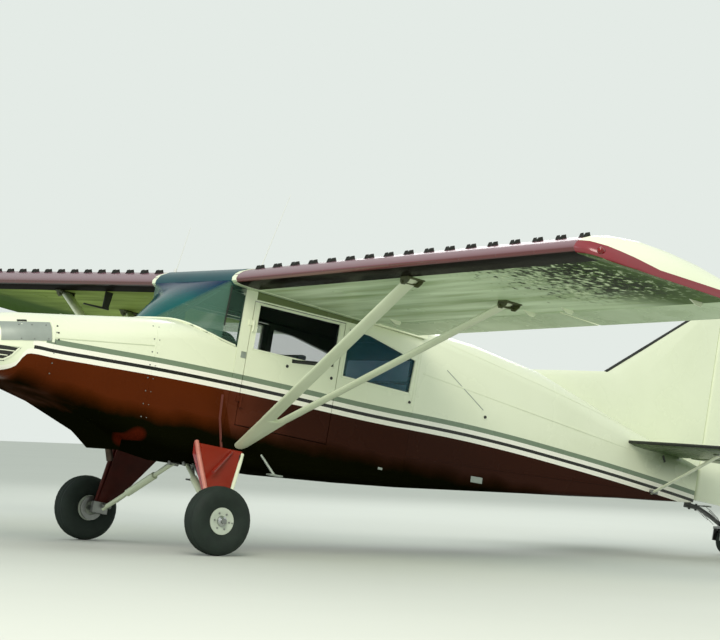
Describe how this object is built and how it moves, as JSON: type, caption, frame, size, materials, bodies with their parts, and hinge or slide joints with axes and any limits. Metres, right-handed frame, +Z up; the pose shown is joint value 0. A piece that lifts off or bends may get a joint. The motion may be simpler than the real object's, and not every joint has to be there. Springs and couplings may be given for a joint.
{
  "type": "high-wing light aircraft",
  "caption": "Strut-braced high-wing light aircraft with a tailwheel, a hollow cabin with doors, hinged control surfaces and flaps, and a turning propeller and wheels.",
  "frame": {"origin": "middle of the bounding box at ground level, the aircraft parked on its three wheels", "axes": "+X towards the tail, +Y to starboard along the wing, +Z up from the ground"},
  "size_m": [7.4368, 9.0322, 2.5683],
  "materials": {
    "cream_paint": "gloss paint on fabric and sheet",
    "maroon_paint": "gloss paint",
    "bare_steel": "satin",
    "propeller_alloy": "satin",
    "wheel_white": "satin paint",
    "tyre_rubber": "matte",
    "panel_black": "matte",
    "seat_cloth": "woven cloth",
    "tinted_glass": "clear acrylic, tinted"
  },
  "bodies": {
    "airframe": {"aerial_1": "panel_black", "aerial_2": "panel_black", "aft_fuselage": "cream_paint", "axle_left": "bare_steel", "axle_right": "bare_steel", "boot_cowl": "cream_paint", "cabin_roof": "cream_paint", "cabin_shell": "cream_paint", "cowl": "cream_paint", "engine": "bare_steel", "exhaust_pipe": "bare_steel", "fin": "cream_paint", "firewall": "bare_steel", "front_seat_left": "seat_cloth", "front_seat_right": "seat_cloth", "gear_leg_left": "maroon_paint", "gear_leg_right": "maroon_paint", "instrument_panel": "panel_black", "nose_bowl": "cream_paint", "rear_seat": "seat_cloth", "rear_window_left": "tinted_glass", "rear_window_right": "tinted_glass", "shock_strut_left": "bare_steel", "shock_strut_right": "bare_steel", "strut_front_left": "cream_paint", "strut_front_right": "cream_paint", "strut_rear_left": "cream_paint", "strut_rear_right": "cream_paint", "tail_brace_left": "cream_paint", "tail_brace_right": "cream_paint", "tail_spring": "bare_steel", "tailplane_left": "cream_paint", "tailplane_right": "cream_paint", "windshield": "tinted_glass", "wing_left": "cream_paint", "wing_right": "cream_paint", "wingtip_left": "cream_paint", "wingtip_right": "cream_paint"},
    "propeller_body": {"propeller": "propeller_alloy", "spinner": "cream_paint"},
    "wheel_left_body": {"main_wheel_left": "wheel_white", "main_tyre_left": "tyre_rubber"},
    "wheel_right_body": {"main_wheel_right": "wheel_white", "main_tyre_right": "tyre_rubber"},
    "tail_fork_body": {"tail_fork": "bare_steel"},
    "tail_wheel_body": {"tail_wheel": "tyre_rubber"},
    "door_left_body": {"door_left": "cream_paint", "door_glass_left": "tinted_glass"},
    "door_right_body": {"door_right": "cream_paint", "door_glass_right": "tinted_glass"},
    "rudder_body": {"rudder": "cream_paint"},
    "elevator_body": {"elevator_left": "cream_paint", "elevator_right": "cream_paint"},
    "flap_left_body": {"flap_left": "cream_paint"},
    "flap_right_body": {"flap_right": "cream_paint"},
    "aileron_left_body": {"aileron_left": "cream_paint"},
    "aileron_right_body": {"aileron_right": "cream_paint"}
  },
  "joints": [
    {"name": "propeller_spin", "type": "hinge", "parent": "airframe", "child": "propeller_body", "pos_m": [-3.50564, 0, 1.4101], "axis": [-0.9894, 0, 0.145], "continuous": true},
    {"name": "wheel_left_spin", "type": "hinge", "parent": "airframe", "child": "wheel_left_body", "pos_m": [-1.87367, -0.935, 0.23599], "axis": [0, 1, 0], "continuous": true},
    {"name": "wheel_right_spin", "type": "hinge", "parent": "airframe", "child": "wheel_right_body", "pos_m": [-1.87367, 0.935, 0.23599], "axis": [0, 1, 0], "continuous": true},
    {"name": "tail_fork_swivel", "type": "hinge", "parent": "airframe", "child": "tail_fork_body", "pos_m": [3.4573, 0, 0.21258], "axis": [0.145, 0, 0.9894], "continuous": true},
    {"name": "tail_wheel_spin", "type": "hinge", "parent": "tail_fork_body", "child": "tail_wheel_body", "pos_m": [3.55041, 0, 0.10999], "axis": [0, 1, 0], "continuous": true},
    {"name": "door_left_swing", "type": "hinge", "parent": "airframe", "child": "door_left_body", "pos_m": [-1.4549, -0.541, 1.28636], "axis": [-0.145, 0, -0.9894], "range_deg": [0, 50]},
    {"name": "door_right_swing", "type": "hinge", "parent": "airframe", "child": "door_right_body", "pos_m": [-1.4549, 0.541, 1.28636], "axis": [0.145, 0, 0.9894], "range_deg": [0, 50]},
    {"name": "rudder_swing", "type": "hinge", "parent": "airframe", "child": "rudder_body", "pos_m": [3.27617, 0, 0.99714], "axis": [0.145, 0, 0.9894], "range_deg": [-24, 24]},
    {"name": "elevator_swing", "type": "hinge", "parent": "airframe", "child": "elevator_body", "pos_m": [2.99596, 0, 0.78858], "axis": [0, 1, 0], "range_deg": [-28, 22]},
    {"name": "flap_left_swing", "type": "hinge", "parent": "airframe", "child": "flap_left_body", "pos_m": [-0.33446, -1.54442, 1.71795], "axis": [-0.0042, 0.9996, -0.0285], "range_deg": [-7, 40]},
    {"name": "flap_right_swing", "type": "hinge", "parent": "airframe", "child": "flap_right_body", "pos_m": [-0.33446, 1.54442, 1.71795], "axis": [0.0042, 0.9996, 0.0285], "range_deg": [-7, 40]},
    {"name": "aileron_left_swing", "type": "hinge", "parent": "airframe", "child": "aileron_left_body", "pos_m": [-0.33446, -1.54442, 1.71795], "axis": [-0.0042, 0.9996, -0.0285], "range_deg": [-20, 20]},
    {"name": "aileron_right_swing", "type": "hinge", "parent": "airframe", "child": "aileron_right_body", "pos_m": [-0.33446, 1.54442, 1.71795], "axis": [0.0042, 0.9996, 0.0285], "range_deg": [-20, 20]}
  ],
  "couplings": [
    {"joint": "flap_right_swing", "follows": "flap_left_swing", "ratio": 1},
    {"joint": "aileron_right_swing", "follows": "aileron_left_swing", "ratio": -1}
  ]
}
